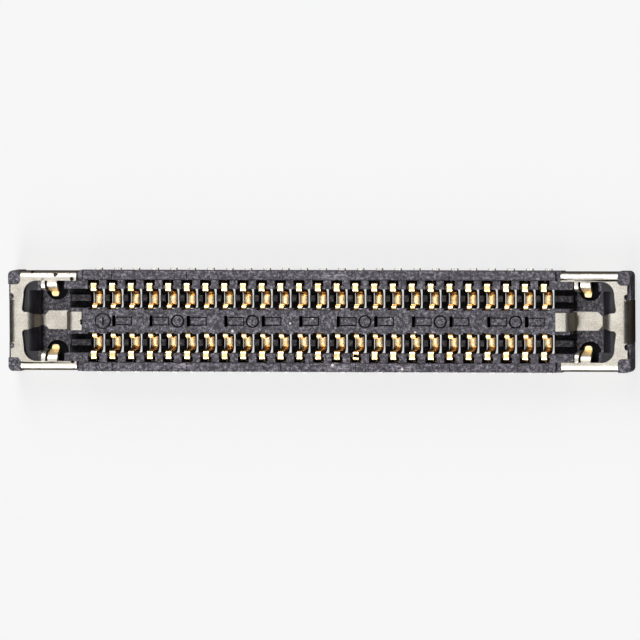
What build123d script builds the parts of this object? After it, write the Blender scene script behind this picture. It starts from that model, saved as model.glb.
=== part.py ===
from build123d import *
from math import atan2, cos, hypot, pi, sin, tan
import os

# Surface-mount receptacle for a flexible circuit's plug: two rows of 25 formed contacts at
# 0.35 mm pitch in a moulded housing, with a formed metal fitting round each end.
# Millimetres. X runs along the rows, Y across them and Z up from the board. The origin is the
# centre of the solder plane. Y sizes are given for the +Y side and X sizes for the +X end:
# the other side and the other end mirror or turn them.

# Contact rows
pitch = 0.35
contacts_per_row = 25

# Housing, heights above the board
standoff = 0.03
channel_height = 0.06
floor_height = 0.10
bar_height = 0.20
web_height = 0.50
top_height = 0.57
rim_step = 0.02

# Housing, widths across the part
island_width = 0.468
well_width = 0.358
web_inset = 0.007
web_thickness = 0.054
notch_gap = 0.041
rim_thickness = 0.167
bar_offset = 0.118
bar_width = 0.115
bar_gap = 0.255

# Housing, the openings and the island's grooves that take a contact
slot_width = 0.21
groove_depth = 0.03

# Housing, shallow pits along the island, each with a deep vent slot at its -X end
pit_pitches = 2
pit_count = 12
pit_length = 0.37
pit_width = 0.20
pit_depth = 0.02
vent_length = 0.053
vent_depth = 0.30

# Housing, lengths beyond the last contact's middle
recess_start = 0.215
ledge_end = 0.545
island_end = 0.48
floor_end = 1.06
housing_end = 1.60
corner_radius = 0.09
shoulder_radius = 0.20
corner_side = 0.56
spring_well_radius = 0.20
spring_well_reach = 0.375

# Contact strip
strip = 0.06
contact_width = 0.13
contact_fit = 0.004
tail_reach = 0.033
tail_bend = 0.06
crown_gap = 0.015
base_height = 0.05
outer_bend = 0.17
inner_bend = 0.06
leg_groove_gap = 0.011
leg_lean = 0.041
knee_height = 0.40
tip_height = 0.505
tip_reach = 0.054
tip_drop = 0.02
tip_bend = 0.035

# End fitting sheet
sheet = 0.10
fitting_inset = 0.015
fitting_fit = 0.005
plate_proud = 0.01
skirt_bend = 0.08
bend_relief = 0.04
arm_end_gap = 0.105
arm_width = 0.184
corner_post_length = 0.225
corner_post_width = 0.249
plate_inset = 0.05
end_skirt_width = 0.78
relief_radius = 0.062
opening_half_width = 0.463
opening_radius = 0.24
opening_waist = 0.04
opening_corner = 0.06

# End fitting strap
strap_width = 0.32
neck_width = 0.19
tongue_width = 0.34
neck_start = 0.06
neck_length = 0.145
strap_top_bend = 0.15
strap_floor_bend = 0.07
cap_bend = 0.08
cap_reach = 0.22
strap_proud = 0.01

# End fitting springs and cheeks
spring_middle = 0.775
spring_width = 0.18
spring_root = 0.145
spring_reach = 0.285
spring_bend = 0.07
spring_tip_height = 0.17
spring_tip_cut = 0.05
pocket_width = 0.37
cheek_width = 0.045
cheek_bend = 0.085

# Places worked out from the sizes above
row_end = pitch * (contacts_per_row - 1) / 2
island_side = island_width / 2
well_side = island_side + well_width
web_inner = well_side + web_inset
web_outer = web_inner + web_thickness
crown_height = web_height + crown_gap + strip
down_leg = web_inner - contact_fit - strip / 2
riser = web_outer + contact_fit + strip / 2
notch_end = riser + strip / 2 + notch_gap
side = notch_end + rim_thickness
end = row_end + housing_end
rim_height = top_height + rim_step
plate_top = rim_height + plate_proud
seat_height = plate_top - sheet
groove = island_side - groove_depth
bar_inner = island_side + bar_offset
bar_outer = bar_inner + bar_width
spring_leg = groove + leg_groove_gap + strip / 2
fitting_side = side - fitting_inset
arm_inner = side - arm_width
wall_end = row_end + floor_end
arm_start = row_end + recess_start + arm_end_gap
plate_edge = end - plate_inset
pocket_middle = row_end + spring_middle


def block(x_from, x_to, y_from, y_to, z_from, z_to):
    """A box between pairs of corner values."""
    size = (x_to - x_from, y_to - y_from, z_to - z_from)
    middle = ((x_from + x_to) / 2, (y_from + y_to) / 2, (z_from + z_to) / 2)
    return Pos(*middle) * Box(*size)


def prism(points, radii, z_from, z_to):
    """An upright prism over a closed plan outline, with a radius at each corner (0 leaves it sharp)."""
    return extrude(Pos(0, 0, z_from) * rounded_face(points, radii), z_to - z_from)


def rounded_face(points, radii):
    """A closed face whose corners are arcs of the given radii."""
    edges = []
    starts = []
    ends = []
    for number, corner in enumerate(points):
        before = points[number - 1]
        after = points[(number + 1) % len(points)]
        start, end_point, middle = corner_arc(before, corner, after, radii[number])
        starts.append(start)
        ends.append(end_point)
        if radii[number] > 0:
            edges.append(ThreePointArc(start, middle, end_point))
    for number, start in enumerate(starts):
        previous = ends[number - 1]
        if hypot(start[0] - previous[0], start[1] - previous[1]) > 1e-6:
            edges.append(Line(previous, start))
    return make_face(Wire(edges))


def corner_arc(before, corner, after, radius):
    """Start, end and middle of the arc that rounds one corner."""
    if radius == 0:
        return corner, corner, corner
    back = (before[0] - corner[0], before[1] - corner[1])
    ahead = (after[0] - corner[0], after[1] - corner[1])
    back_length = hypot(*back)
    ahead_length = hypot(*ahead)
    back = (back[0] / back_length, back[1] / back_length)
    ahead = (ahead[0] / ahead_length, ahead[1] / ahead_length)
    turn = atan2(back[0] * ahead[1] - back[1] * ahead[0], back[0] * ahead[0] + back[1] * ahead[1])
    half = abs(turn) / 2
    reach = radius / tan(half)
    start = (corner[0] + back[0] * reach, corner[1] + back[1] * reach)
    finish = (corner[0] + ahead[0] * reach, corner[1] + ahead[1] * reach)
    bisector = (back[0] + ahead[0], back[1] + ahead[1])
    length = hypot(*bisector)
    depth = radius / sin(half) - radius
    middle = (corner[0] + bisector[0] / length * depth, corner[1] + bisector[1] / length * depth)
    return start, finish, middle


def strip_face(points, radii, thickness):
    """The section of a bent strip: its middle line is points, each bend's middle radius is in radii."""
    left = []
    right = []
    left_radii = []
    right_radii = []
    last = len(points) - 1
    for number, point in enumerate(points):
        before = points[max(number - 1, 0)]
        after = points[min(number + 1, last)]
        incoming = atan2(point[1] - before[1], point[0] - before[0]) if number > 0 else None
        outgoing = atan2(after[1] - point[1], after[0] - point[0]) if number < last else None
        incoming = outgoing if incoming is None else incoming
        outgoing = incoming if outgoing is None else outgoing
        turn = (outgoing - incoming + pi) % (2 * pi) - pi
        normal = incoming + turn / 2 + pi / 2
        offset = thickness / 2 / cos(turn / 2)
        left.append((point[0] + offset * cos(normal), point[1] + offset * sin(normal)))
        right.append((point[0] - offset * cos(normal), point[1] - offset * sin(normal)))
        bend = radii[number - 1] if 0 < number < last else 0
        inner = max(bend - thickness / 2, 0)
        outer = bend + thickness / 2 if bend > 0 else 0
        left_radii.append(inner if turn > 0 else outer)
        right_radii.append(outer if turn > 0 else inner)
    return rounded_face(left + right[::-1], left_radii + right_radii[::-1])


def along_x(face, x_from, x_to):
    """A (Y, Z) section made solid from one X to another."""
    return extrude(Plane.YZ.offset(x_from) * face, x_to - x_from)


def along_y(face, y_from, y_to):
    """An (X, Z) section made solid from one Y to another."""
    section = Plane(origin=(0, y_from, 0), x_dir=(1, 0, 0), z_dir=(0, -1, 0)) * face
    return extrude(section, y_from - y_to)


def flat_bends(points, radii):
    """The line with each bend drawn as two equal turns, whose flats touch the true arc."""
    line = [points[0]]
    for before, corner, after, radius in zip(points, points[1:], points[2:], radii):
        back = (before[0] - corner[0], before[1] - corner[1])
        ahead = (after[0] - corner[0], after[1] - corner[1])
        cross = back[0] * ahead[1] - back[1] * ahead[0]
        turn = pi - abs(atan2(cross, back[0] * ahead[0] + back[1] * ahead[1]))
        reach = radius * (tan(turn / 2) - tan(turn / 4))
        if reach == 0:
            line.append(corner)
            continue
        for side_of_bend in (back, ahead):
            share = reach / hypot(*side_of_bend)
            line.append((corner[0] + side_of_bend[0] * share, corner[1] + side_of_bend[1] * share))
    line.append(points[-1])
    return line


def flat_strip(points, radii, thickness):
    """The section of a small bent strip, with flat-sided bends."""
    line = flat_bends(points, radii)
    return strip_face(line, [0] * (len(line) - 2), thickness)


def contact():
    """One contact of the +Y row at X = 0: tail, riser, crown over the web, U base and sprung leg."""
    tail_end = side + tail_reach
    knee = spring_leg + leg_lean
    points = [
        (tail_end, strip / 2),
        (riser, strip / 2),
        (riser, crown_height - strip / 2),
        (down_leg, crown_height - strip / 2),
        (down_leg, base_height + strip / 2),
        (spring_leg, base_height + strip / 2),
        (knee, knee_height),
        (knee - tip_reach / 4, tip_height - strip / 2),
        (knee - tip_reach, tip_height - strip / 2 - tip_drop),
    ]
    crown_bend = (riser - down_leg) / 2
    radii = [tail_bend, crown_bend, crown_bend, outer_bend, inner_bend, 0, tip_bend]
    return along_x(flat_strip(points, radii, strip), -contact_width / 2, contact_width / 2)


def end_fitting():
    """The fitting of the +X end: plate, arms, skirts, strap, springs and cheeks as one bent sheet."""
    post_start = end - corner_post_length
    post_side = side - corner_post_width
    middle_height = plate_top - sheet / 2
    skirt_line = end - sheet / 2
    plate = plate_with_opening(post_start, post_side)
    turn_start = skirt_line - skirt_bend
    end_skirt = along_y(
        strip_face([(turn_start - sheet, middle_height), (skirt_line, middle_height), (skirt_line, 0)],
                   [skirt_bend], sheet),
        -end_skirt_width / 2, end_skirt_width / 2)
    fitting = plate + end_skirt + strap()
    side_line = fitting_side - sheet / 2
    for hand in (-1, 1):
        skirt_points = [
            (hand * arm_inner, middle_height),
            (hand * side_line, middle_height),
            (hand * side_line, 0),
        ]
        fitting += along_x(flat_strip(skirt_points, [skirt_bend], sheet),
                           arm_start, post_start - fitting_fit)
        fitting += spring(hand)
        for cheek_side in (-1, 1):
            fitting += cheek(hand, cheek_side)
    return fitting


def plate_with_opening(post_start, post_side):
    """The flat C-shaped plate: arms along both walls and the bar across the end."""
    skirt_inner = end - sheet / 2 - skirt_bend
    arm_outer = fitting_side - sheet / 2 - skirt_bend
    opening_edge = wall_end + shoulder_radius + sheet / 2
    half = [
        (arm_start, arm_outer),
        (post_start - fitting_fit, arm_outer),
        (post_start - fitting_fit, post_side - fitting_fit),
        (plate_edge, post_side - fitting_fit),
        (plate_edge, end_skirt_width / 2),
        (skirt_inner, end_skirt_width / 2),
    ]
    outline = half + [(x, -y) for x, y in reversed(half)]
    plate = prism(outline, [0] * len(outline), seat_height, plate_top)
    neck_edge = opening_edge + opening_waist
    cut_points = [
        (arm_start - sheet, arm_inner),
        (opening_edge, arm_inner),
        (opening_edge, opening_half_width),
        (neck_edge, strap_width / 2),
        (opening_edge - opening_waist, strap_width / 2),
    ]
    cut_radii = [0, opening_radius, 0, opening_corner, 0]
    cut_outline = cut_points + [(x, -y) for x, y in reversed(cut_points)]
    plate -= prism(cut_outline, cut_radii + cut_radii[::-1], seat_height, plate_top)
    for hand in (-1, 1):
        relief = (end_skirt_width / 2 + relief_radius) * hand
        notch = Pos(plate_edge, relief, seat_height) * Cylinder(
            relief_radius, sheet, align=(Align.CENTER, Align.CENTER, Align.MIN))
        plate -= notch
    return plate


def strap_line():
    """The strap's middle line, from the plate down the end wall, along the floor and over the island."""
    middle_height = plate_top - sheet / 2
    floor_line = standoff + sheet / 2
    wall_line = wall_end + sheet / 2
    island_line = row_end + island_end + strap_proud - sheet / 2
    return [
        (wall_end + shoulder_radius + sheet, middle_height),
        (wall_line, middle_height),
        (wall_line, floor_line),
        (island_line, floor_line),
        (island_line, middle_height),
        (row_end + cap_reach, middle_height),
    ]


def strap_radii():
    """The middle radius of each of the strap's bends."""
    return [strap_top_bend, strap_floor_bend, strap_floor_bend, cap_bend]


def strap_outline(grow):
    """The strap's plan outline, grown all round by a clearance."""
    neck = wall_end - neck_start
    widen = neck - neck_length / 2
    wide = wall_end + shoulder_radius + sheet + grow
    half = [
        (wide, strap_width / 2 + grow),
        (wall_end + shoulder_radius, strap_width / 2 + grow),
        (wall_end + sheet, neck_width / 2 + grow),
        (neck, neck_width / 2 + grow),
        (widen, tongue_width / 2 + grow),
        (row_end + cap_reach - grow, tongue_width / 2 + grow),
    ]
    return half + [(x, -y) for x, y in reversed(half)]


def strap():
    """The centre strap, bent to its line and cut to its outline."""
    section = strip_face(strap_line(), strap_radii(), sheet)
    bent = along_y(section, -tongue_width, tongue_width)
    outline = strap_outline(0)
    return bent & prism(outline, [0] * len(outline), 0, plate_top + sheet)


def spring(hand):
    """One locking spring: a tongue from the arm that bends down and in over the floor."""
    middle_height = plate_top - sheet / 2
    root = arm_inner - spring_root / 2
    points = [
        (hand * (arm_inner + sheet), middle_height),
        (hand * root, middle_height),
        (hand * (arm_inner - spring_reach), spring_tip_height),
    ]
    tongue = along_x(flat_strip(points, [spring_bend], sheet),
                     pocket_middle - spring_width / 2, pocket_middle + spring_width / 2)
    near = pocket_middle - spring_width / 2
    far = pocket_middle + spring_width / 2
    root_side = arm_inner + sheet
    corner_line = arm_inner - spring_reach + spring_tip_cut / 2
    tip_line = corner_line - spring_tip_cut
    outline = [
        (near, hand * root_side),
        (near, hand * corner_line),
        (near + spring_tip_cut, hand * tip_line),
        (far - spring_tip_cut, hand * tip_line),
        (far, hand * corner_line),
        (far, hand * root_side),
    ]
    return tongue & prism(outline, [0] * len(outline), 0, plate_top)


def cheek(hand, cheek_side):
    """One narrow cheek that lines the pocket's wall beside the spring."""
    middle_height = plate_top - sheet / 2
    points = [
        (hand * (arm_inner + sheet), middle_height),
        (hand * (arm_inner - cheek_bend), middle_height),
        (hand * (arm_inner - cheek_bend), floor_height + fitting_fit),
    ]
    near = pocket_middle + cheek_side * pocket_width / 2
    far = near + cheek_side * cheek_width
    return along_x(flat_strip(points, [cheek_bend], sheet), min(near, far), max(near, far))


def housing():
    """The moulded body."""
    outline = [(-end, -side), (end, -side), (end, side), (-end, side)]
    body = prism(outline, [corner_radius] * 4, standoff, rim_height)
    body -= wells()
    for turn in (0, 180):
        body -= Rot(0, 0, turn) * fitting_bed()
        body -= Rot(0, 0, turn) * lead_in()
        body -= Rot(0, 0, turn) * strap_bed()
    opening = contact_opening()
    body -= [Rot(0, 0, turn) * Pos(place, 0, 0) * opening
             for place in contact_places() for turn in (0, 180)]
    pits = []
    for number in range(pit_count):
        middle = (number - (pit_count - 1) / 2) * pit_pitches * pitch
        near = middle - pit_length / 2
        pits.append(block(near, near + pit_length, -pit_width / 2, pit_width / 2,
                          top_height - pit_depth, top_height))
        pits.append(block(near, near + vent_length, -pit_width / 2, pit_width / 2,
                          top_height - vent_depth, top_height))
    body -= pits
    return body


def contact_places():
    """The X of each contact in a row."""
    return [pitch * number - row_end for number in range(contacts_per_row)]


def wells():
    """The room round the island, with the ledge of the walls and the two channels beside each bar."""
    ledge = row_end + recess_start
    island_tip = row_end + island_end
    pocket = row_end + ledge_end
    room = block(-pocket, pocket, -well_side, well_side, bar_height, rim_height)
    for turn in (-1, 1):
        near = min(turn * pocket, turn * wall_end)
        far = max(turn * pocket, turn * wall_end)
        room += block(near, far, -corner_side, corner_side, floor_height, rim_height)
        cheek_end = pocket_middle + pocket_width / 2 + cheek_width
        room += block(min(turn * pocket, turn * cheek_end), max(turn * pocket, turn * cheek_end),
                      -arm_inner, arm_inner, floor_height, rim_height)
        room += block(min(turn * island_tip, turn * pocket), max(turn * island_tip, turn * pocket),
                      -well_side, well_side, floor_height, rim_height)
    for turn in (-1, 1):
        for near, far in ((island_side, bar_inner), (bar_outer, well_side)):
            room += block(-pocket, pocket, min(turn * near, turn * far), max(turn * near, turn * far),
                          channel_height, rim_height)
    room -= block(-island_tip, island_tip, -island_side, island_side, 0, top_height)
    room += block(-ledge, ledge, -notch_end, notch_end, top_height, rim_height)
    return room


def fitting_bed():
    """What the +X fitting takes out of the body: plate seat, skirt faces and the springs' wells."""
    post_start = end - corner_post_length
    post_side = side - corner_post_width
    recess = row_end + recess_start
    bed = block(recess, post_start, -side, side, seat_height, rim_height)
    bed += block(post_start, end, -post_side, post_side, seat_height, rim_height)
    bed -= block(recess, row_end + ledge_end, -arm_inner + fitting_fit, arm_inner - fitting_fit,
                 seat_height, rim_height)
    skirt_depth = sheet + fitting_fit
    skirt_side = end_skirt_width / 2 + fitting_fit
    bed += block(end - skirt_depth, end, -skirt_side, skirt_side, standoff, rim_height)
    relief = skirt_depth + bend_relief
    end_relief = Polyline((end - relief, seat_height), (end, seat_height),
                          (end, seat_height - relief), close=True)
    bed += along_y(make_face(end_relief), -skirt_side, skirt_side)
    for hand in (-1, 1):
        side_relief = Polyline((hand * (fitting_side - relief), seat_height),
                               (hand * fitting_side, seat_height),
                               (hand * fitting_side, seat_height - relief), close=True)
        bed += along_x(make_face(side_relief), arm_start - fitting_fit, post_start)
        bed += block(arm_start - fitting_fit, post_start,
                     min(hand * side, hand * (fitting_side - skirt_depth)),
                     max(hand * side, hand * (fitting_side - skirt_depth)), standoff, rim_height)
        well_middle = spring_well_reach + spring_well_radius
        bed += Pos(pocket_middle, hand * well_middle, channel_height) * Cylinder(
            spring_well_radius, seat_height, align=(Align.CENTER, Align.CENTER, Align.MIN))
        bed += block(pocket_middle - spring_well_radius, pocket_middle + spring_well_radius,
                     min(hand * well_middle, hand * arm_inner),
                     max(hand * well_middle, hand * arm_inner), channel_height, seat_height)
    return bed


def lead_in():
    """The rounded shoulder that leads into the +X end of the well."""
    corner = block(wall_end, wall_end + shoulder_radius, -corner_side, corner_side,
                   seat_height - shoulder_radius, seat_height)
    roll = Pos(wall_end + shoulder_radius, 0, seat_height - shoulder_radius) * Rot(90, 0, 0) * Cylinder(
        shoulder_radius, 2 * side)
    return corner - roll


def strap_bed():
    """What the strap takes out of the end wall, the floor and the island's end."""
    outline = strap_outline(fitting_fit)
    outlined = prism(outline, [0] * len(outline), standoff, rim_height)
    island_face = row_end + island_end + strap_proud - sheet - fitting_fit
    wall_back = wall_end + sheet + fitting_fit
    reach = strap_top_bend + fitting_fit
    room = block(island_face, wall_back, -side, side, standoff, rim_height)
    cap_seat = seat_height - fitting_fit
    room += block(row_end, island_face, -side, side, cap_seat, rim_height)
    island_relief = Polyline((island_face - bend_relief, cap_seat), (island_face, cap_seat),
                             (island_face, cap_seat - bend_relief), close=True)
    room += along_y(make_face(island_relief), -side, side)
    shoulder = sheet / 2 + reach
    room += block(wall_end, wall_end + shoulder, -side, side, seat_height + sheet / 2 - reach, rim_height)
    return outlined & room


def contact_opening():
    """The opening for one contact of the +Y row at X = 0, with the narrow way out for its tail."""
    tail_room = strip + contact_fit
    section = [
        (groove, rim_height),
        (groove, standoff),
        (web_inner, standoff),
        (web_inner, web_height),
        (web_outer, web_height),
        (web_outer, tail_room),
        (notch_end, tail_room),
        (notch_end, rim_height),
    ]
    opening = along_x(make_face(Polyline(*section, close=True)), -slot_width / 2, slot_width / 2)
    opening += block(-bar_gap / 2, bar_gap / 2, bar_inner, bar_outer, channel_height, bar_height)
    passage = contact_width / 2 + contact_fit
    opening += block(-passage, passage, web_outer, side, standoff, tail_room)
    return opening


os.makedirs("parts", exist_ok=True)

one_contact = contact()
export_step(housing(), "parts/housing.step")
export_step(end_fitting(), "parts/end_fitting_right.step")
export_step(Rot(0, 0, 180) * end_fitting(), "parts/end_fitting_left.step")
for number, place in enumerate(contact_places()):
    export_step(Pos(place, 0, 0) * one_contact, f"parts/contact_a{number + 1:02d}.step")
    export_step(Pos(place, 0, 0) * Rot(0, 0, 180) * one_contact, f"parts/contact_b{number + 1:02d}.step")
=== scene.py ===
import math
from functools import partial
import bmesh
import bpy
from mathutils import Matrix, Vector


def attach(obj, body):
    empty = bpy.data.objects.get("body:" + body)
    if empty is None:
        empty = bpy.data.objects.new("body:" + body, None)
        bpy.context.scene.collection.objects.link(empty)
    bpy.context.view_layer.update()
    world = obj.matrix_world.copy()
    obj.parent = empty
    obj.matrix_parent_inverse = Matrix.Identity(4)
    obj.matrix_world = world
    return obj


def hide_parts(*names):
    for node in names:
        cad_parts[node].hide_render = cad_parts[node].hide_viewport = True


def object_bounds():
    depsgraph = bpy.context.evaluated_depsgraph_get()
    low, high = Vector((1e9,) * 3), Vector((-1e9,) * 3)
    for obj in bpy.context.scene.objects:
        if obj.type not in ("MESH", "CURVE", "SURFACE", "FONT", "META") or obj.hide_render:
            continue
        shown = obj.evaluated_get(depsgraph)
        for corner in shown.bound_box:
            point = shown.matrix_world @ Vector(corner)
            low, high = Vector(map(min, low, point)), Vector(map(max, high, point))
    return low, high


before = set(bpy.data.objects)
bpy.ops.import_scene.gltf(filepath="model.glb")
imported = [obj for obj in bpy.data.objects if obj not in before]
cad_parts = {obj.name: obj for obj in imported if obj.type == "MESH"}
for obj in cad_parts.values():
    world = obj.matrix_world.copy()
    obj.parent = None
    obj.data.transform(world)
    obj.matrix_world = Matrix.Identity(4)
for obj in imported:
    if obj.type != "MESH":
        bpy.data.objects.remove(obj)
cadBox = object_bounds()
print("frame loaded:", len(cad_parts), "nodes")

mm = 0.001
scene = bpy.context.scene
scene.view_settings.view_transform = "Standard"

# sizes that several pieces share, mm
body = {
    "pitch": 0.35,
    "contacts": 25,
    "rowEnd": 4.2,
    "end": 5.8,
    "rim": 0.59,
    "islandTop": 0.57,
    "wallEnd": 5.26,
    "plateTop": 0.6,
    "sheet": 0.1,
    "armInner": 0.741,
    "armStart": 4.52,
    "pocketMiddle": 4.975,
    "wellMiddle": 0.575,
}


# camera: the photo looks down, leaning a little towards the right end
cameraSet = {
    "aim": (0.0415, 0.0292, 0.59),  # what the middle of the picture shows
    "towards": (0.194, 0.042, 1.0),  # from the part to the lens
    "distance": 250,
    "shownWidth": 11.72,
    "sensor": 36,
    "roll": 0.16,  # degrees, the right end sits lower
    "clip": (10, 10000),
}


def facing(back, place, roll=0.0):
    # a camera or lamp at a place, its back along one direction and its right side level but for the roll
    flatRight = (Vector((1, 0, 0)) - back * back.x).normalized()
    right = flatRight * math.cos(roll) + back.cross(flatRight) * math.sin(roll)
    matrix = Matrix((right, back.cross(right), back)).transposed().to_4x4()
    matrix.translation = place
    return matrix


def makeCamera():
    back = Vector(cameraSet["towards"]).normalized()
    data = bpy.data.cameras.new("photoCamera")
    data.sensor_width = cameraSet["sensor"]
    data.lens = cameraSet["sensor"] * cameraSet["distance"] / cameraSet["shownWidth"]
    data.clip_start, data.clip_end = [reach * mm for reach in cameraSet["clip"]]
    camera = bpy.data.objects.new("photoCamera", data)
    scene.collection.objects.link(camera)
    place = (Vector(cameraSet["aim"]) + back * cameraSet["distance"]) * mm
    camera.matrix_world = facing(back, place, math.radians(cameraSet["roll"]))
    scene.camera = camera


makeCamera()
print("camera placed")


# small helpers for materials
def linear(hexColour):
    channels = [int(hexColour[i:i + 2], 16) / 255 for i in (1, 3, 5)]
    return [c / 12.92 if c <= 0.04045 else ((c + 0.055) / 1.055) ** 2.4 for c in channels] + [1.0]


def addNode(tree, kind, inputs=None, **settings):
    node = tree.nodes.new(kind)
    for name, value in settings.items():
        setattr(node, name, value)
    for name, value in (inputs or {}).items():
        if isinstance(value, bpy.types.NodeSocket):
            tree.links.new(value, node.inputs[name])
        else:
            node.inputs[name].default_value = value
    return node


def maths(tree, operation, *values):
    return addNode(tree, "ShaderNodeMath", dict(enumerate(values)), operation=operation).outputs[0]


def vectorMaths(tree, operation, *values):
    node = addNode(tree, "ShaderNodeVectorMath", dict(enumerate(values)), operation=operation)
    return node.outputs["Value" if operation in ("DISTANCE", "LENGTH") else "Vector"]


def mapped(tree, value, fromMin, fromMax, toMin=0.0, toMax=1.0):
    return addNode(tree, "ShaderNodeMapRange", {
        "Value": value, "From Min": fromMin, "From Max": fromMax, "To Min": toMin, "To Max": toMax,
    }).outputs["Result"]


def noise(tree, place, size, detail, **more):
    return addNode(tree, "ShaderNodeTexNoise", {
        "Vector": place, "Scale": 1 / (size * mm), "Detail": detail, **more}).outputs["Fac"]


def mixed(tree, share, colour, hexColour):
    return addNode(tree, "ShaderNodeMix", {0: share, 6: colour, 7: linear(hexColour)},
                   data_type="RGBA").outputs[2]


def newMaterial(name, **uniform):
    material = bpy.data.materials.new(name)
    material.use_nodes = True
    shader = material.node_tree.nodes["Principled BSDF"]
    for socket, value in uniform.items():
        shader.inputs[socket.replace("_", " ")].default_value = value
    return material, material.node_tree, shader


def colourSteps(tree, factor, look, steps):
    # a ramp through the look's named colours
    ramp = addNode(tree, "ShaderNodeValToRGB", {"Fac": factor})
    ends = ramp.color_ramp.elements
    ends[0].position, ends[1].position = steps[0][0], steps[-1][0]
    ends[0].color, ends[1].color = linear(look[steps[0][1]]), linear(look[steps[-1][1]])
    for position, name in steps[1:-1]:
        ends.new(position).color = linear(look[name])
    return ramp.outputs["Color"]


def spotted(tree, place, colour, ragged, spots, stain):
    # small ragged spots at places given in mm, as seen from above
    flat = vectorMaths(tree, "MULTIPLY", place, (1, 1, 0))
    for x, y, radius in spots:
        away = vectorMaths(tree, "DISTANCE", flat, (x * mm, y * mm, 0))
        edge = maths(tree, "MULTIPLY_ADD", ragged, radius * mm, radius * mm / 2)
        colour = mixed(tree, maths(tree, "LESS_THAN", away, edge), colour, stain)
    return colour


def grainyRoughness(tree, grain, look):
    smoother, rougher = look["spread"]
    return mapped(tree, grain, 0.3, 0.7, look["roughness"] - smoother, look["roughness"] + rougher)


def dress(tree, shader, look, colour, rough, height):
    tree.links.new(colour, shader.inputs["Base Color"])
    tree.links.new(rough, shader.inputs["Roughness"])
    depth, strength = look["bump"]
    bump = addNode(tree, "ShaderNodeBump", {"Height": height, "Distance": depth * mm, "Strength": strength})
    tree.links.new(bump.outputs["Normal"], shader.inputs["Normal"])


# small helpers for pieces
flatBeside = math.radians(20)  # flat faces stay flat beside edges that turn more than this


def finishPiece(piece, material, nodes):
    low, high = cadBox
    for vertex in piece.data.vertices:
        vertex.co = [min(max(c, least), most) for c, least, most in zip(vertex.co, low, high)]
    piece.data.materials.clear()
    piece.data.materials.append(material)
    piece.data.shade_smooth()
    piece.data.set_sharp_from_angle(angle=flatBeside)
    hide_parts(*nodes)
    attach(piece, "root")


def newPiece(name, bm):
    mesh = bpy.data.meshes.new(name)
    bm.to_mesh(mesh)
    bm.free()
    piece = bpy.data.objects.new(name, mesh)
    scene.collection.objects.link(piece)
    return piece


def settle(piece):
    # the modifiers' result becomes the piece's own mesh
    evaluated = piece.evaluated_get(bpy.context.evaluated_depsgraph_get())
    result = bpy.data.meshes.new_from_object(evaluated)
    piece.modifiers.clear()
    piece.data = result


# materials: places and pattern sizes in mm
lcpLook = {
    "dark": "#1f1d21",
    "base": "#3f3c43",
    "light": "#6f6b76",
    "fleck": "#b7b1bb",
    # painted shade: the end walls' darker colour
    "shoulderShade": "#211f25",
    # painted shade: the black of the wells, channels and vents
    "well": "#070608",
    "fibre": "#efece6",
    "steps": [(0.39, "dark"), (0.475, "base"), (0.55, "light"), (0.63, "fleck")],
    "mottle": 0.055,
    "grain": 0.018,
    "grainShare": 0.35,
    "roughness": 0.46,
    "spread": (0.08, 0.10),
    "bump": (0.006, 0.6),
    # the end walls' polished faces, along X, whose darker colour is painted shade
    "wallMiddle": 5.39,
    "wallHalf": 0.132,
    # painted shade: black in the wells under the springs, the contact channels and the island's vents
    "wellRadius": 0.205,
    "wellTop": 0.5,
    "wellSide": 0.75,
    "channelDark": 0.09,
    "channelPale": 0.18,
    "channelShadeShare": 0.85,
    "channelHalf": (4.73, 0.6),
    "ventTop": 0.53,
    "ventHalf": (4.15, 0.11),
    # specks of dust that lie on it in the photo: place and size
    "dust": [(-0.52, -0.035, 0.020), (-0.11, 0.06, 0.022), (-1.60, -0.18, 0.022), (1.35, 0.066, 0.02),
             (1.81, -0.19, 0.02), (1.57, -0.87, 0.022), (0.27, -0.80, 0.026), (-2.16, 0.73, 0.02),
             (5.63, 0.60, 0.02), (5.69, 0.42, 0.02)],
    # scuffed places on the rims: place and half lengths
    "scuffs": [(0.40, 0.80, 0.42, 0.10), (0.42, -0.78, 0.42, 0.14), (1.55, -0.84, 0.25, 0.06),
               (-2.55, -0.82, 0.30, 0.07), (-4.50, 0.84, 0.20, 0.06)],
    "strokeSize": 0.11,
    "strokeTurn": -32,  # degrees
    "strokeSquash": 3.2,
    "strokeFrom": 0.50,
    "strokeFull": 0.58,
    "strokeShare": 0.8,
}


def scuffed(tree, place, colour):
    # crossing pale strokes that fade towards each patch's edge
    look = lcpLook
    turned = addNode(tree, "ShaderNodeMapping", {
        "Vector": place, "Rotation": (0, 0, math.radians(look["strokeTurn"])),
        "Scale": (1, look["strokeSquash"], 1)}).outputs["Vector"]
    strokes = noise(tree, turned, look["strokeSize"], 5, Roughness=0.65, Distortion=0.6)
    stroke = mapped(tree, strokes, look["strokeFrom"], look["strokeFull"])
    for x, y, halfX, halfY in look["scuffs"]:
        near = vectorMaths(tree, "SUBTRACT", place, (x * mm, y * mm, 0))
        scaled = vectorMaths(tree, "MULTIPLY", near, (1 / (halfX * mm), 1 / (halfY * mm), 0))
        away = vectorMaths(tree, "LENGTH", scaled)
        inside = maths(tree, "SUBTRACT", 1.0, maths(tree, "MINIMUM", away, 1.0))
        fade = maths(tree, "MINIMUM", maths(tree, "MULTIPLY", inside, 2.0), look["strokeShare"])
        colour = mixed(tree, maths(tree, "MULTIPLY", stroke, fade), colour, look["fleck"])
    return colour


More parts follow.
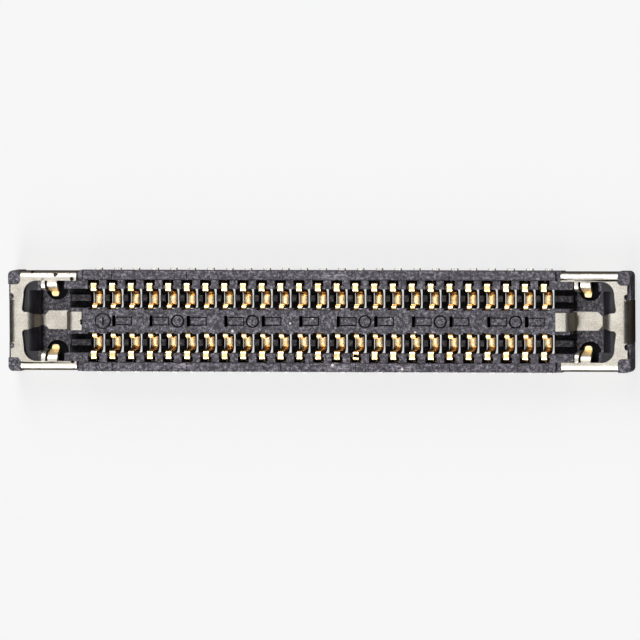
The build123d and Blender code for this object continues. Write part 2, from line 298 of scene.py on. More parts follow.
def paintedShadePlaces(tree, parts, along, across):
    # painted shade: 1 in the wells under the springs, down the channels and in the vents
    look = lcpLook
    calc = partial(maths, tree)

    def below(value, limit):
        return calc("LESS_THAN", value, limit * mm)

    offX = calc("SUBTRACT", along, body["pocketMiddle"] * mm)
    offY = calc("MAXIMUM", calc("SUBTRACT", body["wellMiddle"] * mm, across), 0.0)
    reach = calc("SQRT", calc("ADD", calc("MULTIPLY", offX, offX), calc("MULTIPLY", offY, offY)))
    sunk = calc("MULTIPLY", below(parts["Z"], look["wellTop"]), below(across, look["wellSide"]))
    well = calc("MULTIPLY", below(reach, look["wellRadius"]), sunk)
    depth = mapped(tree, parts["Z"], look["channelDark"] * mm, look["channelPale"] * mm, 1.0, 0.0)
    halfX, halfY = look["channelHalf"]
    inRows = calc("MULTIPLY", below(along, halfX), below(across, halfY))
    channelShade = calc("MULTIPLY", calc("MULTIPLY", depth, inRows), look["channelShadeShare"])
    halfX, halfY = look["ventHalf"]
    inIsland = calc("MULTIPLY", below(parts["Z"], look["ventTop"]), below(along, halfX))
    ventShade = calc("MULTIPLY", below(across, halfY), inIsland)
    return calc("MAXIMUM", well, calc("MAXIMUM", channelShade, ventShade))


def housingMaterial():
    # liquid-crystal polymer, injection moulded: matt charcoal, faintly mottled by its flow and filler
    look = lcpLook
    material, tree, shader = newMaterial("mouldedLcp", IOR=1.5)
    place = addNode(tree, "ShaderNodeTexCoord").outputs["Object"]
    mottle = noise(tree, place, look["mottle"], 7, Roughness=0.7)
    grain = noise(tree, place, look["grain"], 3)
    blend = addNode(tree, "ShaderNodeMix", {0: look["grainShare"], 2: mottle, 3: grain},
                    data_type="FLOAT").outputs[0]
    colour = scuffed(tree, place, colourSteps(tree, blend, look, look["steps"]))
    colour = spotted(tree, place, colour, grain, look["dust"], look["fibre"])
    # the end walls are moulded against polished steel, so they are smoother; their darker colour is painted
    # shade
    parts = addNode(tree, "ShaderNodeSeparateXYZ", {"Vector": place}).outputs
    along = maths(tree, "ABSOLUTE", parts["X"])
    across = maths(tree, "ABSOLUTE", parts["Y"])
    wall = maths(tree, "MULTIPLY",
                 maths(tree, "COMPARE", along, look["wallMiddle"] * mm, look["wallHalf"] * mm),
                 maths(tree, "LESS_THAN", across, body["armInner"] * mm))
    # painted shade: black over the wells, channels and vents, which are also made rougher
    paintedShade = paintedShadePlaces(tree, parts, along, across)
    colour = mixed(tree, paintedShade, mixed(tree, wall, colour, look["shoulderShade"]), look["well"])
    smoother = maths(tree, "MULTIPLY_ADD", wall, -0.12, grainyRoughness(tree, grain, look))
    rough = maths(tree, "MULTIPLY_ADD", paintedShade, 0.5, smoother)
    dress(tree, shader, look, colour, rough, blend)
    return material


goldLook = {
    "pale": "#fbe5bb",
    "deep": "#ecba76",
    "paleTail": "#f3efe6",
    "bruise": "#120d0a",
    "steps": [(0.32, "deep"), (0.62, "pale")],
    "cloud": 0.09,
    "grain": 0.010,
    "roughness": 0.26,
    "spread": (0.07, 0.10),
    "bump": (0.0012, 0.6),
    "paleTailFrom": 0.76,
    "paleTailFull": 0.82,
    # one crown of the front row is crushed: a dark break across it
    "bruises": [(0.685, -0.627, 0.032), (0.72, -0.632, 0.032)],
}


def goldMaterial():
    # gold plated over nickel on copper alloy strip: satin gold, clouded where the plating is thinner
    look = goldLook
    material, tree, shader = newMaterial("goldPlatedStrip", Metallic=1.0)
    place = addNode(tree, "ShaderNodeTexCoord").outputs["Object"]
    cloud = noise(tree, place, look["cloud"], 5, Roughness=0.6)
    gold = colourSteps(tree, cloud, look, look["steps"])
    # the solder tails are painted almost white from where the strip leaves the notch
    parts = addNode(tree, "ShaderNodeSeparateXYZ", {"Vector": place}).outputs
    paleTails = mapped(tree, maths(tree, "ABSOLUTE", parts["Y"]), look["paleTailFrom"] * mm, look["paleTailFull"] * mm)
    grain = noise(tree, place, look["grain"], 2)
    colour = spotted(tree, place, mixed(tree, paleTails, gold, look["paleTail"]), grain,
                     look["bruises"], look["bruise"])
    dress(tree, shader, look, colour, grainyRoughness(tree, grain, look), grain)
    return material


nickelLook = {
    "light": "#e9e4d9",
    "dark": "#b9b0a2",
    "gold": "#ecd2a0",
    "pit": "#2c2622",
    "steps": [(0.35, "dark"), (0.6, "light")],
    "grain": 0.022,
    "cloud": 0.3,
    "cloudShare": 0.4,
    "roughness": 0.36,
    "spread": (0.08, 0.10),
    "bump": (0.004, 0.7),
    # gold on the springs' ends: middle and half width across, half length, top
    "goldMiddle": 0.49,
    "goldHalf": 0.13,
    "goldAlong": 0.1,
    "goldTop": 0.52,
    # dark pits in the plating of the left fitting, and a nick in its cap
    "pits": [(-4.917, 0.848, 0.034), (-4.885, 0.856, 0.022), (-5.354, 0.900, 0.03),
             (-4.600, 0.772, 0.036), (-4.595, -0.745, 0.036), (-4.425, 0.0, 0.03),
             (-4.430, -0.045, 0.022), (-5.33, -0.43, 0.014)],
}


def nickelMaterial():
    # rolled copper alloy sheet plated with matt nickel: warm white with a fine crystalline grain
    look = nickelLook
    material, tree, shader = newMaterial("mattNickelSheet", Metallic=1.0)
    calc = partial(maths, tree)
    place = addNode(tree, "ShaderNodeTexCoord").outputs["Object"]
    grain = noise(tree, place, look["grain"], 4, Roughness=0.6)
    cloud = noise(tree, place, look["cloud"], 4, Roughness=0.6)
    blend = addNode(tree, "ShaderNodeMix", {0: look["cloudShare"], 2: grain, 3: cloud}, data_type="FLOAT")
    nickel = colourSteps(tree, blend.outputs[0], look, look["steps"])
    # the springs' ends, where they touch the plug, are spot plated with gold
    parts = addNode(tree, "ShaderNodeSeparateXYZ", {"Vector": place}).outputs
    inwards = calc("COMPARE", calc("ABSOLUTE", parts["Y"]), look["goldMiddle"] * mm, look["goldHalf"] * mm)
    along = calc("ABSOLUTE", parts["X"])
    beside = calc("COMPARE", along, body["pocketMiddle"] * mm, look["goldAlong"] * mm)
    low = calc("LESS_THAN", parts["Z"], look["goldTop"] * mm)
    plated = calc("MULTIPLY", calc("MULTIPLY", beside, low), inwards)
    colour = spotted(tree, place, mixed(tree, plated, nickel, look["gold"]), grain,
                     look["pits"], look["pit"])
    dress(tree, shader, look, colour, grainyRoughness(tree, grain, look), grain)
    return material


mouldedLcp = housingMaterial()
goldStrip = goldMaterial()
nickelSheet = nickelMaterial()
print("materials made")

# contact rows, mm
contact = {
    "strip": 0.06,
    "width": 0.13,
    "tipWidth": 0.105,
    "topShare": 0.91,  # crown and tip are coined a little narrower
    "baseShare": 1.25,  # and the U's base is left wider
    "baseLimit": 0.64,  # the U lies inwards of this
    "coinFrom": 0.15,  # heights between which the width changes
    "coinTo": 0.48,
    "edge": 0.012,  # the rolled strip's rounded edges
    "edgePoints": 2,
    "bendPoints": 5,
    "taperStart": 0.24,  # from the tip, along the strip
    "taperEnd": 0.12,
    "roundEnd": 0.045,
    "endShare": 0.35,  # what the rounded tip leaves of the width at its very end
    "wander": 0.002,
    # the strip's middle line across the part: Y, Z, bend radius
    "line": [
        (0.958, 0.03, 0),
        (0.687, 0.03, 0.06),
        (0.687, 0.545, 0.04),
        (0.565, 0.545, 0.04),
        (0.565, 0.08, 0.13),
        (0.245, 0.08, 0.07),
        (0.286, 0.40, 0.20),
        (0.2725, 0.475, 0.035),
        (0.232, 0.455, 0),
    ],
    "endSteps": [0.034, 0.02, 0.009, 0.002],  # extra points that let the tip round off
}


def contactPath(name):
    bm = bmesh.new()
    bend = bm.verts.layers.float.new("bend")
    line = list(contact["line"])
    last = Vector(line[-1][:2])
    back = (Vector(line[-2][:2]) - last).normalized()
    line[-1:] = [(*(last + back * step), 0) for step in contact["endSteps"]] + [line[-1]]
    previous = None
    for y, z, radius in line:
        vertex = bm.verts.new((0, y * mm, z * mm))
        vertex[bend] = radius * mm
        if previous:
            bm.edges.new((previous, vertex))
        previous = vertex
    return newPiece(name, bm)


def contactRowTree():
    tree = bpy.data.node_groups.new("contactRow", "GeometryNodeTree")
    tree.interface.new_socket("Geometry", in_out="INPUT", socket_type="NodeSocketGeometry")
    sizes = {
        "Count": body["contacts"], "Seed": 1, "Pitch": body["pitch"] * mm, "Width": contact["width"] * mm,
        "Thickness": contact["strip"] * mm, "Edge": contact["edge"] * mm,
        "Tip Width": contact["tipWidth"] * mm, "Top Share": contact["topShare"],
        "Base Share": contact["baseShare"], "Taper Start": contact["taperStart"] * mm,
        "Taper End": contact["taperEnd"] * mm, "Round End": contact["roundEnd"] * mm,
        "Wander": contact["wander"] * mm,
    }
    for name, value in sizes.items():
        kind = "NodeSocketInt" if isinstance(value, int) else "NodeSocketFloat"
        tree.interface.new_socket(name, in_out="INPUT", socket_type=kind).default_value = value
    tree.interface.new_socket("Geometry", in_out="OUTPUT", socket_type="NodeSocketGeometry")
    given = addNode(tree, "NodeGroupInput").outputs
    calc = partial(maths, tree)

    # the path, with its bends, and how far each point is from the tip
    path = addNode(tree, "GeometryNodeMeshToCurve", {"Mesh": given["Geometry"]})
    bend = addNode(tree, "GeometryNodeInputNamedAttribute", {"Name": "bend"}, data_type="FLOAT")
    bent = addNode(tree, "GeometryNodeFilletCurve", {
        "Curve": path.outputs["Curve"], "Radius": bend.outputs["Attribute"],
        "Count": contact["bendPoints"]}, mode="POLY")
    whole = addNode(tree, "GeometryNodeSplineLength").outputs["Length"]
    gone = addNode(tree, "GeometryNodeSplineParameter").outputs["Length"]
    capture = addNode(tree, "GeometryNodeCaptureAttribute", {"Geometry": bent.outputs["Curve"]})
    capture.capture_items.new("FLOAT", "fromTip")
    tree.links.new(calc("SUBTRACT", whole, gone), capture.inputs["fromTip"])
    fromTip = capture.outputs["fromTip"]

    # the strip's section, swept along it
    section = addNode(tree, "GeometryNodeCurvePrimitiveQuadrilateral", {
        "Width": given["Width"], "Height": given["Thickness"]})
    softSection = addNode(tree, "GeometryNodeFilletCurve", {
        "Curve": section.outputs["Curve"], "Radius": given["Edge"],
        "Count": contact["edgePoints"]}, mode="POLY")
    swept = addNode(tree, "GeometryNodeCurveToMesh", {
        "Curve": capture.outputs["Geometry"], "Profile Curve": softSection.outputs["Curve"],
        "Fill Caps": True})

    # narrower towards the tip, and rounded at its end
    tipShare = calc("DIVIDE", given["Tip Width"], given["Width"])
    taper = addNode(tree, "ShaderNodeMapRange", {
        "Value": fromTip, "From Min": given["Taper End"], "From Max": given["Taper Start"],
        "To Min": tipShare, "To Max": 1.0}, interpolation_type="SMOOTHSTEP")
    nearEnd = calc("SUBTRACT", 1.0, calc("MINIMUM", calc("DIVIDE", fromTip, given["Round End"]), 1.0))
    rounded = calc("SQRT", calc("SUBTRACT", 1.0, calc("MULTIPLY", nearEnd, nearEnd)))
    roundOff = calc("MAXIMUM", rounded, contact["endShare"])

    # wider at the U's base, narrower at crown and tip
    across = addNode(tree, "ShaderNodeSeparateXYZ", {
        "Vector": addNode(tree, "GeometryNodeInputPosition").outputs["Position"]})
    inside = calc("LESS_THAN", across.outputs["Y"], contact["baseLimit"] * mm)
    baseShare = calc("MULTIPLY_ADD", inside, calc("SUBTRACT", given["Base Share"], 1.0), 1.0)
    coined = addNode(tree, "ShaderNodeMapRange", {
        "Value": across.outputs["Z"], "From Min": contact["coinFrom"] * mm,
        "From Max": contact["coinTo"] * mm, "To Min": baseShare, "To Max": given["Top Share"]},
        interpolation_type="SMOOTHSTEP")
    share = calc("MULTIPLY", calc("MULTIPLY", taper.outputs["Result"], coined.outputs["Result"]), roundOff)
    shift = calc("MULTIPLY", across.outputs["X"], calc("SUBTRACT", share, 1.0))
    shaped = addNode(tree, "GeometryNodeSetPosition", {
        "Geometry": swept.outputs["Mesh"],
        "Offset": addNode(tree, "ShaderNodeCombineXYZ", {"X": shift}).outputs["Vector"]})

    # one at each place, none quite where it should be
    rowLength = calc("MULTIPLY", given["Pitch"], calc("SUBTRACT", given["Count"], 1.0))
    start = addNode(tree, "ShaderNodeCombineXYZ", {"X": calc("MULTIPLY", rowLength, -0.5)})
    step = addNode(tree, "ShaderNodeCombineXYZ", {"X": given["Pitch"]})
    places = addNode(tree, "GeometryNodeMeshLine", {
        "Count": given["Count"], "Start Location": start.outputs["Vector"],
        "Offset": step.outputs["Vector"]}, mode="OFFSET")
    wander = addNode(tree, "FunctionNodeRandomValue", {"Seed": given["Seed"]}, data_type="FLOAT")
    tree.links.new(calc("MULTIPLY", given["Wander"], -1.0), wander.inputs[2])
    tree.links.new(given["Wander"], wander.inputs[3])
    offset = addNode(tree, "ShaderNodeCombineXYZ", {"X": wander.outputs[1]})
    moved = addNode(tree, "GeometryNodeSetPosition", {
        "Geometry": places.outputs["Mesh"], "Offset": offset.outputs["Vector"]})
    placed = addNode(tree, "GeometryNodeInstanceOnPoints", {
        "Points": moved.outputs["Geometry"], "Instance": shaped.outputs["Geometry"]})
    real = addNode(tree, "GeometryNodeRealizeInstances", {"Geometry": placed.outputs["Instances"]})
    dressed = addNode(tree, "GeometryNodeSetMaterial", {
        "Geometry": real.outputs["Geometry"], "Material": goldStrip})
    addNode(tree, "NodeGroupOutput", {"Geometry": dressed.outputs["Geometry"]})
    return tree


def contactRow(tree, name, letter, seed, turn):
    piece = contactPath(name)
    modifier = piece.modifiers.new("contactRow", "NODES")
    modifier.node_group = tree
    for item in tree.interface.items_tree:
        if item.name == "Seed":
            modifier[item.identifier] = seed
    settle(piece)
    piece.data.transform(Matrix.Rotation(turn, 4, "Z"))
    bm = bmesh.new()
    bm.from_mesh(piece.data)
    bmesh.ops.recalc_face_normals(bm, faces=bm.faces)
    bm.to_mesh(piece.data)
    bm.free()
    names = [f"contact_{letter}{number:02d}" for number in range(1, body["contacts"] + 1)]
    finishPiece(piece, goldStrip, names)
    print(name, "made,", len(piece.data.polygons), "faces")


rowTree = contactRowTree()
contactRow(rowTree, "contactRowBack", "a", 3, 0)
contactRow(rowTree, "contactRowFront", "b", 8, math.pi)


# end fittings, mm: each is one blank, bent; made here as bent strips joined to the flat plate
fitting = {
    "side": 0.910,
    "plateEdge": 5.75,
    "postStart": 5.575,
    "postSide": 0.676,
    "postRadius": 0.075,
    "clear": 0.005,  # between the plate and a corner post
    "skirtBend": 0.08,
    "endSkirtHalf": 0.39,
    "relief": 0.062,
    "openingEdge": 5.51,
    "openingHalf": 0.463,
    "openingRadius": 0.24,
    "openingCorner": 0.06,
    "openingWaist": 0.04,
    "lap": 0.02,  # how far a skirt's strip runs into the plate
    # the strap, from the plate down the wall, along the floor and up to its cap on the island
    "strapHalf": 0.16,
    "strapLap": 0.3,
    "strapHeight": 0.08,
    "strapBends": [0.15, 0.07, 0.07, 0.08],
    "riser": 0.52,  # its outer face and the cap's end, from the last contact
    "capEnd": 0.22,
    "neckHalf": 0.095,
    "neckEnd": 0.06,  # from the wall
    "neckFlare": 0.0725,
    "topFlare": 0.08,
    "topShare": 0.6,  # the rest of the flare comes with the height
    "flareFrom": 0.2,
    "flareHeight": 0.3,
    "tongueHalf": 0.17,
    # the springs: places inwards of the arms, and heights
    "springHalf": 0.09,
    "springReach": 0.285,
    "springLap": 0.05,
    "springDrop": 0.0725,
    "springFoot": 0.09,
    "springLow": 0.24,
    "springTip": 0.22,
    "springBends": [0.09, 0.07],
    "springWaist": 0.72,  # share of its width at the foot
    "springGain": 2.4,  # and how fast it widens above
    # share of the way to the tip, and of the width there
    "springEnd": [(0.5, 0.97), (0.72, 0.90), (0.86, 0.78), (0.94, 0.62), (0.985, 0.40), (1, 0.22)],
    "cheekAway": (0.135, 0.205),
    "cheekLine": [(-0.05, None), (0.12, None), (0.16, 0.105)],  # None: the plate's height
    "cheekBend": 0.085,
    "bendSteps": 10,
    "smallSteps": 8,
    "weld": 0.002,
    "edge": 0.009,  # sheared edges, rubbed round
}


def roundedLine(points, radii, steps):
    line = [Vector(points[0])]
    for before, corner, after, radius in zip(points, points[1:], points[2:], radii):
        corner = Vector(corner)
        if radius == 0:
            line.append(corner)
            continue
        back = (Vector(before) - corner).normalized()
        ahead = (Vector(after) - corner).normalized()
        half = back.angle(ahead) / 2
        centre = corner + (back + ahead).normalized() * radius / math.sin(half)
        start = corner + back * radius / math.tan(half) - centre
        finish = corner + ahead * radius / math.tan(half) - centre
        sweep = math.pi - 2 * half
        for step in range(steps + 1):
            share = step / steps
            turned = start * math.sin((1 - share) * sweep) + finish * math.sin(share * sweep)
            line.append(centre + turned / math.sin(sweep))
    line.append(Vector(points[-1]))
    return line


def bentStrip(bm, line, widths, place):
    # a strip of sheet along a line in (U, V), from widths[i][0] to widths[i][1] across at each point
    rings = []
    for number, point in enumerate(line):
        ahead = (line[min(number + 1, len(line) - 1)] - line[max(number - 1, 0)]).normalized()
        normal = Vector((-ahead.y, ahead.x)) * body["sheet"] / 2
        low, high = widths[number]
        ring = [(low, 1), (high, 1), (high, -1), (low, -1)]
        rings.append([bm.verts.new(Vector(place(*(point + normal * way), across)) * mm)
                      for across, way in ring])
    for first, second in zip(rings, rings[1:]):
        for number in range(4):
            after = (number + 1) % 4
            bm.faces.new((first[number], first[after], second[after], second[number]))
    bm.faces.new(rings[0])
    bm.faces.new(rings[-1][::-1])


def flatPlate(bm, outline, bottom, top):
    rings = [[bm.verts.new((x * mm, y * mm, z * mm)) for x, y in outline] for z in (bottom, top)]
    for number in range(len(outline)):
        after = (number + 1) % len(outline)
        bm.faces.new((rings[0][number], rings[0][after], rings[1][after], rings[1][number]))
    bm.faces.new(rings[0][::-1])
    bm.faces.new(rings[1])


def onePiece(name, build, *given):
    bm = bmesh.new()
    build(bm, *given)
    bmesh.ops.recalc_face_normals(bm, faces=bm.faces)
    return newPiece(name, bm)


def joinShells(base, others, operation="UNION"):
    for other in others:
        modifier = base.modifiers.new("join", "BOOLEAN")
        modifier.operation = operation
        modifier.solver = "EXACT"
        modifier.object = other
    settle(base)
    for other in others:
        bpy.data.objects.remove(other)


def roundEdges(piece, width):
    bevel = piece.modifiers.new("edges", "BEVEL")
    bevel.width = width * mm
    bevel.segments = 2
    bevel.limit_method = "ANGLE"
    bevel.angle_limit = math.radians(40)
    bevel.use_clamp_overlap = True
    settle(piece)


def plateOutline():
    f = fitting
    armOuter = f["side"] - body["sheet"] / 2 - f["skirtBend"]
    skirtInner = body["end"] - body["sheet"] / 2 - f["skirtBend"]
    relief = []
    for step in range(f["smallSteps"] + 1):
        angle = math.pi / 2 + math.pi * step / f["smallSteps"]
        relief.append((f["plateEdge"] + f["relief"] * math.cos(angle),
                       f["endSkirtHalf"] + f["relief"] * (1 + math.sin(angle))))
    armEnd = f["postStart"] - f["clear"]
    postSide = f["postSide"] - f["clear"]
    aroundPost = [(body["armStart"], armOuter), (armEnd, armOuter), (armEnd, postSide),
                  (f["plateEdge"], postSide)]
    outer = roundedLine(aroundPost, [0, f["postRadius"]], 6)
    outer += relief + [(skirtInner, f["endSkirtHalf"])]
    corners = [(body["armStart"], body["armInner"]), (f["openingEdge"], body["armInner"]),
               (f["openingEdge"], f["openingHalf"])]
    inner = roundedLine(corners, [f["openingRadius"]], f["bendSteps"])
    tail = [(f["openingEdge"], f["openingHalf"]), (f["openingEdge"] + f["openingWaist"], f["strapHalf"]),
            (f["openingEdge"] - f["openingWaist"], f["strapHalf"])]
    inner = inner[:-1] + roundedLine(tail, [f["openingCorner"]], 6)
    half = [tuple(point) for point in inner[::-1] + outer]
    return half + [(x, -y) for x, y in reversed(half)]


def skirt(name, edge, middle, low, high, place):
    # down from the plate, bent at its edge
    f = fitting
    line = roundedLine([(edge - f["skirtBend"] - f["lap"], middle), (edge, middle), (edge, 0.0)],
                       [f["skirtBend"]], f["bendSteps"])
    return onePiece(name, bentStrip, line, [(low, high)] * len(line), place)


def strapWidth(point):
    f = fitting
    x, z = point
    if x > body["wallEnd"] - f["neckEnd"]:
        out = min(max((x - body["wallEnd"] - body["sheet"]) / f["topFlare"], 0), 1)
        up = min(max((z - f["flareFrom"]) / f["flareHeight"], 0), 1)
        share = out * f["topShare"] + up * (1 - f["topShare"])
        return f["neckHalf"] + (f["strapHalf"] - f["neckHalf"]) * share
    share = min(max((body["wallEnd"] - f["neckEnd"] - x) / f["neckFlare"], 0), 1)
    return f["neckHalf"] + (f["tongueHalf"] - f["neckHalf"]) * share


def strap(middle):
    f = fitting
    floor = f["strapHeight"]
    wall = body["wallEnd"] + body["sheet"] / 2
    riser = body["rowEnd"] + f["riser"] - body["sheet"] / 2
    bends = roundedLine(
        [(body["wallEnd"] + f["strapLap"], middle), (wall, middle), (wall, floor), (riser, floor),
         (riser, middle), (body["rowEnd"] + f["capEnd"], middle)], f["strapBends"], f["bendSteps"])
    line = []
    for first, second in zip(bends, bends[1:]):
        line.append(first)
        if max(abs(first.y - floor), abs(second.y - floor)) < 1e-6:
            neck = body["wallEnd"] - f["neckEnd"]
            line += [Vector((x, floor)) for x in (neck, neck - f["neckFlare"])]
    line.append(bends[-1])
    widths = [(-strapWidth(point), strapWidth(point)) for point in line]
    return onePiece("strap", bentStrip, line, widths, lambda u, v, w: (u, w, v))


def spring(middle, place):
    f = fitting
    reach = body["armInner"] - f["springReach"]
    line = roundedLine(
        [(body["armInner"] + f["springLap"], middle), (body["armInner"] - f["springDrop"], middle),
         (reach + f["springFoot"], f["springLow"]), (reach, f["springTip"])],
        f["springBends"], f["smallSteps"])
    tip = line.pop()
    halves = [f["springHalf"]] * len(line) + [f["springHalf"] * share for way, share in f["springEnd"]]
    line += [line[-1] + (tip - line[-1]) * way for way, share in f["springEnd"]]
    halves = [half * min(1, f["springWaist"] + f["springGain"] * max(point.y - f["springLow"], 0))
              for half, point in zip(halves, line)]
    widths = [(body["pocketMiddle"] - half, body["pocketMiddle"] + half) for half in halves]
    return onePiece("spring", bentStrip, line, widths, place)


def cheek(middle, side, place):
    # beside each spring, on the side away from the lens, where it shows
    f = fitting
    points = [(body["armInner"] - inwards, height or middle) for inwards, height in f["cheekLine"]]
    line = roundedLine(points, [f["cheekBend"]], f["smallSteps"])
    ends = sorted(body["pocketMiddle"] + side * away for away in f["cheekAway"])
    return onePiece("cheek", bentStrip, line, [ends] * len(line), place)


def fittingPiece(name, node, turn):
    f = fitting
    top, sheet = body["plateTop"], body["sheet"]
    middle = top - sheet / 2
    plate = onePiece(name, flatPlate, plateOutline(), top - sheet, top)
    parts = [skirt("endSkirt", body["end"] - sheet / 2, middle, -f["endSkirtHalf"], f["endSkirtHalf"],
                   lambda u, v, w: (u, w, v)), strap(middle)]
    for hand in (-1, 1):
        place = partial(lambda hand, u, v, w: (w, hand * u, v), hand)
        parts.append(skirt("sideSkirt", f["side"] - sheet / 2, middle, body["armStart"],
                           f["postStart"] - f["clear"], place))
        parts.append(spring(middle, place))
        parts.append(cheek(middle, -1 if turn == 0 else 1, place))
    joinShells(plate, parts)
    bm = bmesh.new()
    bm.from_mesh(plate.data)
    bmesh.ops.remove_doubles(bm, verts=bm.verts, dist=f["weld"] * mm)
    bmesh.ops.dissolve_limit(bm, angle_limit=0.01, verts=bm.verts, edges=bm.edges)
    bm.to_mesh(plate.data)
    bm.free()
    roundEdges(plate, f["edge"])
    plate.data.transform(Matrix.Rotation(turn, 4, "Z"))
    finishPiece(plate, nickelSheet, [node])
    print(name, "made,", len(plate.data.polygons), "faces")


fittingPiece("endFittingRight", "end_fitting_right", 0)
fittingPiece("endFittingLeft", "end_fitting_left", math.pi)

# housing, mm: the CAD form with its moulded edges rounded and the mould's own marks cut in
housing = {
    "edge": 0.010,
    "above": 0.02,  # how far a cut reaches over the surface
    "ejectorAt": (0.5, 4.5, 8.5, 14.5, 18.5, 22.5),  # counted in pitches from the first contact
    "ejectorRadius": (0.155, 0.125, 0.125, 0.125, 0.125, 0.125),
    "bar": (0.03, 0.15),  # a plain bar in the first ring
    "groove": 0.030,
    "grooveDepth": 0.06,
    "pitsAt": 1.08,  # the vent of the first pit, in pitches from the first contact
    "pits": 12,
    "ventSize": (0.062, 0.20),
    "ventDepth": 0.30,
    "pit": (0.305, 0.165),
    "pitDepth": 0.018,
    "web": 0.004,  # left between vent and pit, and between a pit's floor and its groove
    "islandFill": (8.2, 0.26),
    "fillBottom": 0.2,
    "partingAt": (-4.40, -3.85, -2.45, -0.70, 0.70, 2.45, 4.43),
    "partingSize": (0.018, 0.18),
    "partingSide": 0.86,
    "partingDepth": 0.04,
    "stepAt": 0.765,  # a witness line where the rims step up
    "stepSize": (9.2, 0.014),
    "stepDepth": 0.014,
    "weld": 0.0002,
}


def ring(bm, outer, inner, low, high):
    # a closed ring between two loops of as many points
    loops = [[bm.verts.new((x * mm, y * mm, z * mm)) for x, y in loop]
             for loop, z in ((outer, low), (outer, high), (inner, high), (inner, low))]
    for first, second in zip(loops, loops[1:] + loops[:1]):
        for number in range(len(outer)):
            after = (number + 1) % len(outer)
            bm.faces.new((first[number], first[after], second[after], second[number]))


def circle(x, y, radius, points=40):
    angles = [2 * math.pi * number / points for number in range(points)]
    return [(x + radius * math.cos(angle), y + radius * math.sin(angle)) for angle in angles]


def rectangle(x, y, size):
    halfX, halfY = size[0] / 2, size[1] / 2
    return [(x - halfX, y - halfY), (x + halfX, y - halfY), (x + halfX, y + halfY), (x - halfX, y + halfY)]


def pitPlaces():
    # X of each vent, and of the pit beside it
    h = housing
    vents = [(h["pitsAt"] + 2 * number - 12) * body["pitch"] for number in range(h["pits"])]
    return [(x, x + h["ventSize"][0] / 2 + h["pit"][0] / 2 + h["web"]) for x in vents]


def islandFill(bm):
    # the photo's pits sit half a pitch beside the CAD's, which are filled first
    flatPlate(bm, rectangle(0, 0, housing["islandFill"]), housing["fillBottom"], body["islandTop"])


def pitCuts(bm):
    # a vent, and beside it a groove round the pit's edge
    h = housing
    top = body["islandTop"]
    above = top + h["above"]
    inner = (h["pit"][0] - h["groove"], h["pit"][1] - h["groove"] * 1.4)
    for ventX, pitX in pitPlaces():
        flatPlate(bm, rectangle(ventX, 0, h["ventSize"]), top - h["ventDepth"], above)
        ring(bm, rectangle(pitX, 0, h["pit"]), rectangle(pitX - h["groove"] / 4, 0, inner),
             top - h["grooveDepth"], above)


def padCuts(bm):
    h = housing
    top = body["islandTop"]
    size = [side - h["web"] for side in h["pit"]]
    for ventX, pitX in pitPlaces():
        flatPlate(bm, rectangle(pitX, 0, size), top - h["pitDepth"], top + h["above"])


def mouldMarks(bm):
    h = housing
    top = body["islandTop"]
    above, bottom = top + h["above"], top - h["grooveDepth"]
    centres = [(place - 12) * body["pitch"] for place in h["ejectorAt"]]
    for x, radius in zip(centres, h["ejectorRadius"]):
        ring(bm, circle(x, 0, radius), circle(x, 0, radius - h["groove"]), bottom, above)
    flatPlate(bm, rectangle(centres[0], 0, h["bar"]), bottom, above)
    for x in h["partingAt"]:
        for hand in (-1, 1):
            flatPlate(bm, rectangle(x, hand * h["partingSide"], h["partingSize"]),
                      body["rim"] - h["partingDepth"], body["rim"] + h["above"])


def stepLines(bm):
    for hand in (-1, 1):
        flatPlate(bm, rectangle(0, hand * housing["stepAt"], housing["stepSize"]),
                  body["islandTop"] - housing["stepDepth"], body["rim"] + housing["above"])


def housingPiece():
    bm = bmesh.new()
    bm.from_mesh(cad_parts["housing"].data)
    bmesh.ops.remove_doubles(bm, verts=bm.verts, dist=housing["weld"] * mm)
    bmesh.ops.dissolve_limit(bm, angle_limit=0.01, verts=bm.verts, edges=bm.edges)
    piece = newPiece("housingBody", bm)
    joinShells(piece, [onePiece("islandFill", islandFill)])
    # one cut after another, since the shells of one cut may not cross
    for cut in (pitCuts, padCuts, mouldMarks, stepLines):
        joinShells(piece, [onePiece(cut.__name__, cut)], "DIFFERENCE")
    roundEdges(piece, housing["edge"])
    finishPiece(piece, mouldedLcp, ["housing"])
    print("housing made,", len(piece.data.polygons), "faces")


housingPiece()

# stage and light, metres
stage = {
    "floor": "#e6e6e6",
    "ground": "#3a3632",  # what polished metal mirrors: the photo's dark ground
    "floorSize": 2.0,
    "floorDrop": 2e-6,
    "floorGlow": 0.72,
    "sky": (0.82, 0.84, 0.88, 1),
    "world": 0.08,
    "mirroredWorld": 0.02,
    "backdrop": 0.95,
    "topPlace": (-0.10, 0.0, 0.5),
    "topSize": (0.12, 0.70),
    "topRadiance": 2.6,
    "sidePlace": (-0.08, 0.45, 0.30),
    "sideSize": (0.2, 0.42),
    "sideRadiance": 7.5,
}
white = (1, 1, 1, 1)


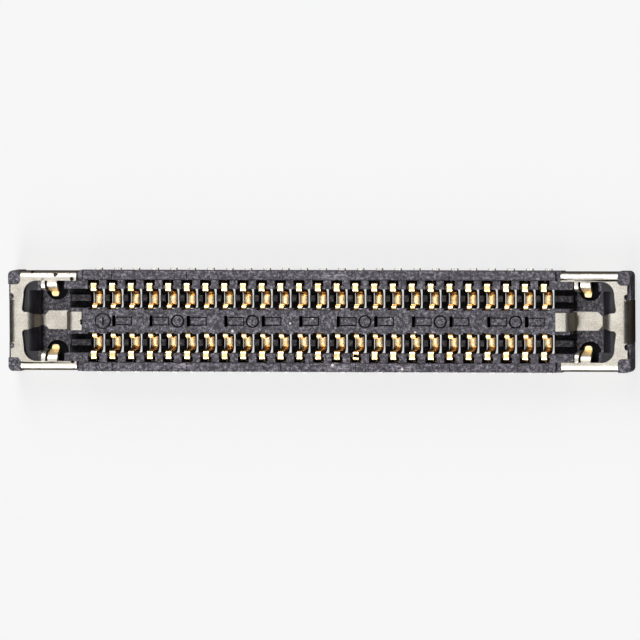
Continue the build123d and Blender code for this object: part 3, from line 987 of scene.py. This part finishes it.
def makeStage():
    bm = bmesh.new()
    bmesh.ops.create_grid(bm, x_segments=1, y_segments=1, size=stage["floorSize"])
    bmesh.ops.translate(bm, verts=bm.verts, vec=(0, 0, -stage["floorDrop"]))
    floor = newPiece("floor", bm)
    material, tree, shader = newMaterial("paleCard", Base_Color=linear(stage["floor"]), Roughness=0.8)
    glow = addNode(tree, "ShaderNodeEmission", {"Color": white, "Strength": 1.0})
    path = addNode(tree, "ShaderNodeLightPath").outputs
    share = maths(tree, "MULTIPLY", path["Is Camera Ray"], stage["floorGlow"])
    card = addNode(tree, "ShaderNodeMixShader", {0: share, 1: shader.outputs[0], 2: glow.outputs[0]})
    ground = addNode(tree, "ShaderNodeBsdfDiffuse", {"Color": linear(stage["ground"])})
    seen = addNode(tree, "ShaderNodeMixShader", {
        0: path["Is Glossy Ray"], 1: card.outputs[0], 2: ground.outputs[0]})
    tree.links.new(seen.outputs[0], tree.nodes["Material Output"].inputs["Surface"])
    floor.data.materials.append(material)


def softbox(name, place, size, radiance):
    data = bpy.data.lights.new(name, "AREA")
    data.shape = "RECTANGLE"
    data.size, data.size_y = size
    data.energy = radiance * math.pi * size[0] * size[1]
    lamp = bpy.data.objects.new(name, data)
    scene.collection.objects.link(lamp)
    lamp.matrix_world = facing(Vector(place).normalized(), place)


def makeLight():
    softbox("overhead", stage["topPlace"], stage["topSize"], stage["topRadiance"])
    for hand in (-1, 1):
        x, y, z = stage["sidePlace"]
        softbox("sideBox", (x, hand * y, z), stage["sideSize"], stage["sideRadiance"])
    world = bpy.data.worlds.new("studio")
    scene.world = world
    world.use_nodes = True
    tree = world.node_tree
    path = addNode(tree, "ShaderNodeLightPath").outputs
    dim = tree.nodes["Background"]
    dim.inputs["Color"].default_value = stage["sky"]
    strength = mapped(tree, path["Is Glossy Ray"], 0.0, 1.0, stage["world"], stage["mirroredWorld"])
    tree.links.new(strength, dim.inputs["Strength"])
    pale = addNode(tree, "ShaderNodeBackground", {"Color": white, "Strength": stage["backdrop"]})
    seen = addNode(tree, "ShaderNodeMixShader", {
        0: path["Is Camera Ray"], 1: dim.outputs[0], 2: pale.outputs[0]})
    tree.links.new(seen.outputs[0], tree.nodes["World Output"].inputs["Surface"])


makeStage()
makeLight()
print("stage and light set")
